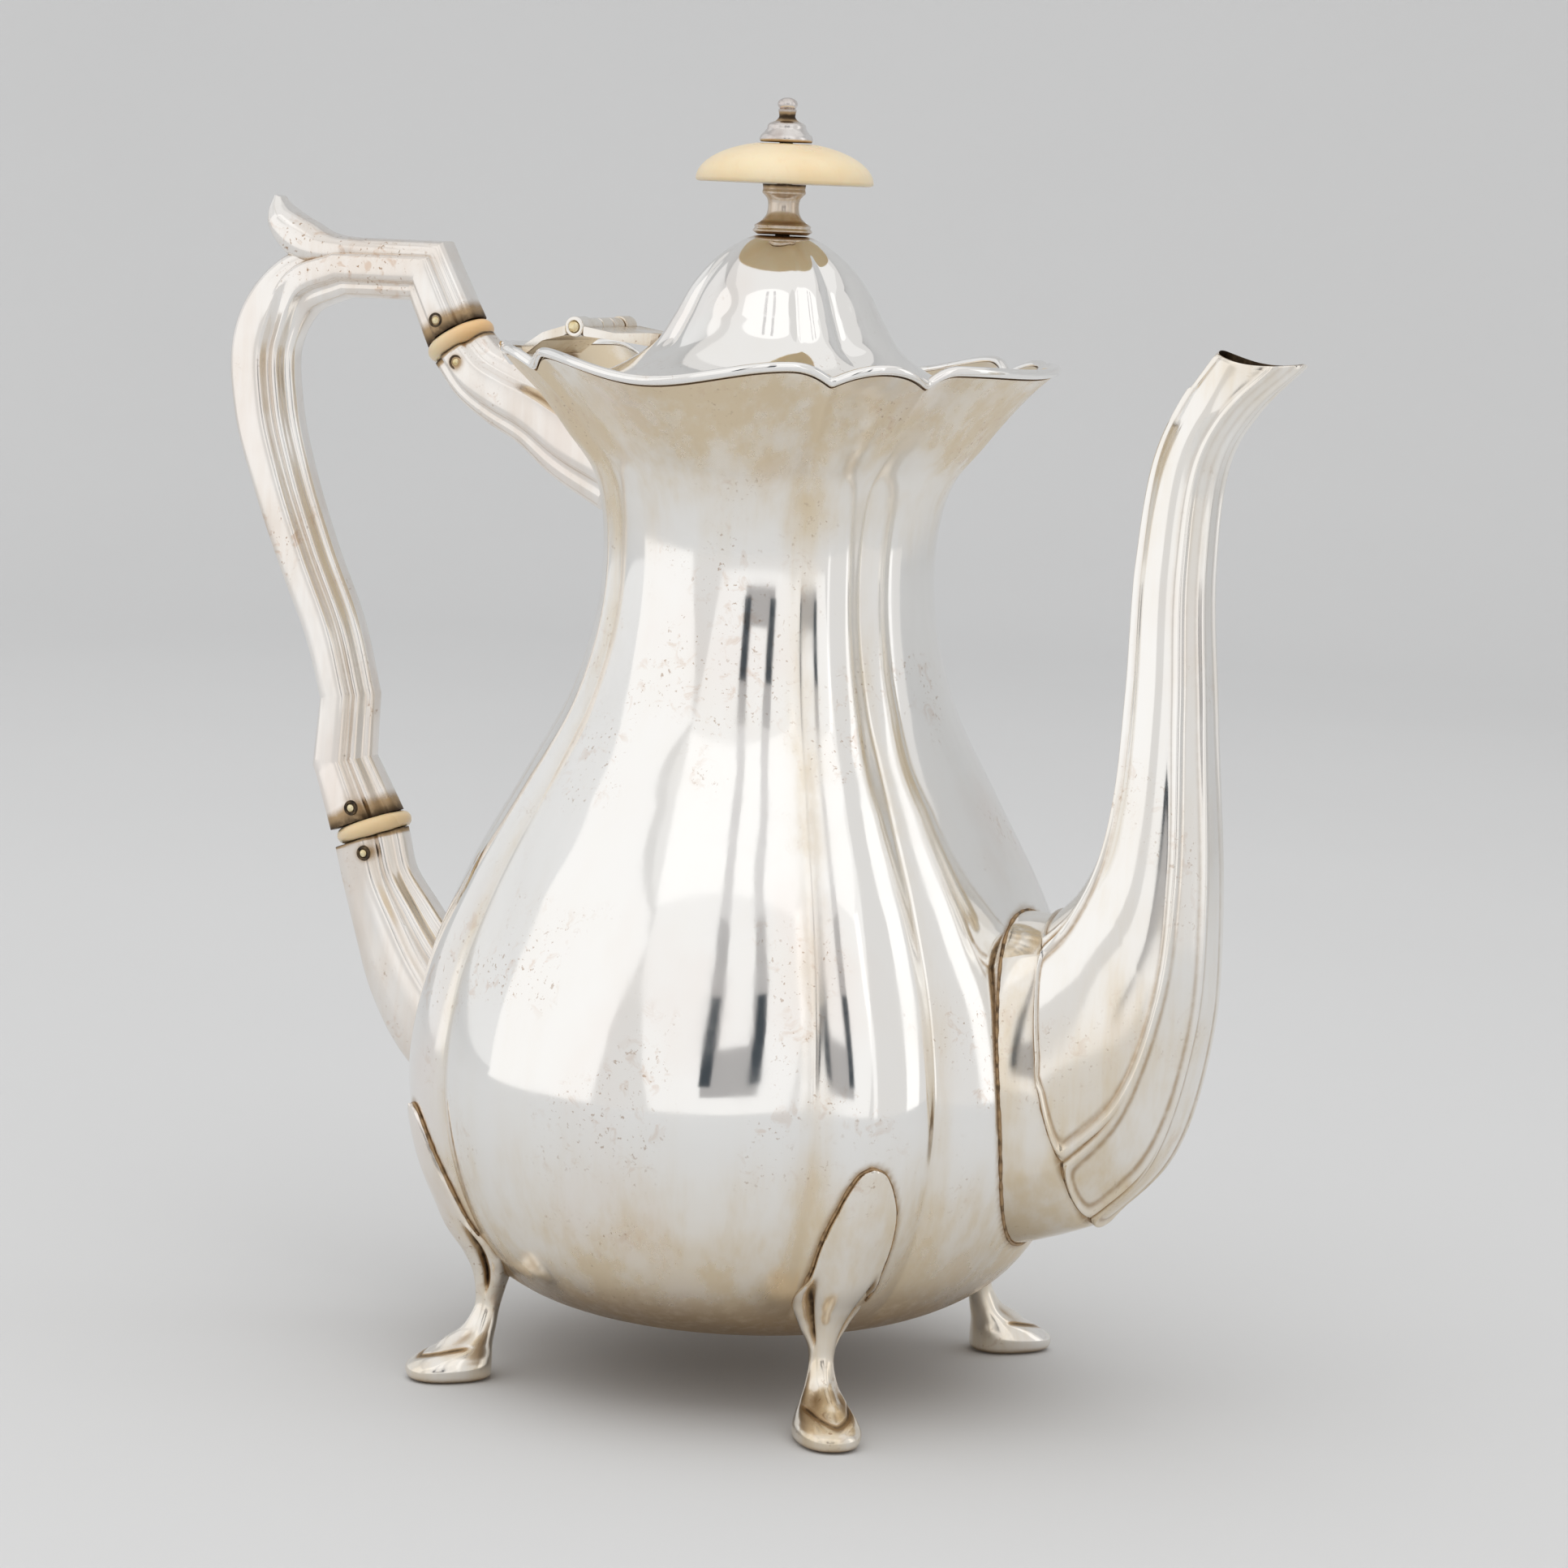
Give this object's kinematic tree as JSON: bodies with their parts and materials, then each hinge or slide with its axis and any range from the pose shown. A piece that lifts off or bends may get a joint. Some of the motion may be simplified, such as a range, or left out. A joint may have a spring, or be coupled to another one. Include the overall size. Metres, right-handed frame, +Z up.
{
  "type": "lobed silver coffee pot",
  "caption": "Pear-shaped lobed silver coffee pot on cabriole feet, with a swan-neck spout, a hinged domed lid and a scrolled handle set off by ivory insulators.",
  "frame": {"origin": "at table level, in the middle of the pot's length from handle to spout, on its middle plane; the body's centreline stands 7.3 mm from it toward the spout", "axes": "+Z up, +X out along the spout, -X out along the handle, +Y across the pot along the lid hinge's pin"},
  "size_m": [0.2312, 0.1352, 0.25],
  "materials": {
    "silver_body": "polished sheet silver with light warm tarnish",
    "silver_cast": "polished cast silver, tarnished in the recesses",
    "silver_hinge": "worn silver with warm yellow tarnish",
    "ivory": "aged ivory or bone, softly polished, with a faint grain",
    "gilt_pin": "pale gold-coloured pin ends, filed flush"
  },
  "bodies": {
    "pot": {"body_shell": "silver_body", "rim_wire": "silver_body", "lid_seat_ring": "silver_body", "foot_front_left": "silver_cast", "foot_front_right": "silver_cast", "foot_rear_left": "silver_cast", "foot_rear_right": "silver_cast", "spout": "silver_cast", "spout_skirt": "silver_cast", "hinge_body_leaf": "silver_hinge", "hinge_pin": "gilt_pin", "handle_upper_socket": "silver_cast", "handle_lower_socket": "silver_cast", "handle_upper_insulator": "ivory", "handle_lower_insulator": "ivory", "handle_grip": "silver_cast", "pin_upper_grip": "gilt_pin", "pin_upper_socket": "gilt_pin", "pin_lower_grip": "gilt_pin", "pin_lower_socket": "gilt_pin"},
    "lid": {"lid_dome": "silver_body", "lid_bezel": "silver_body", "hinge_lid_leaf": "silver_hinge", "finial_stem": "silver_cast", "finial_cap": "ivory", "finial_tip": "silver_cast", "finial_stud": "silver_hinge", "finial_nut": "silver_hinge"}
  },
  "joints": [
    {"name": "lid_hinge", "type": "hinge", "parent": "pot", "child": "lid", "pos_m": [-0.0317, 0, 0.204], "axis": [0, -1, 0], "range_deg": [0, 98]}
  ]
}
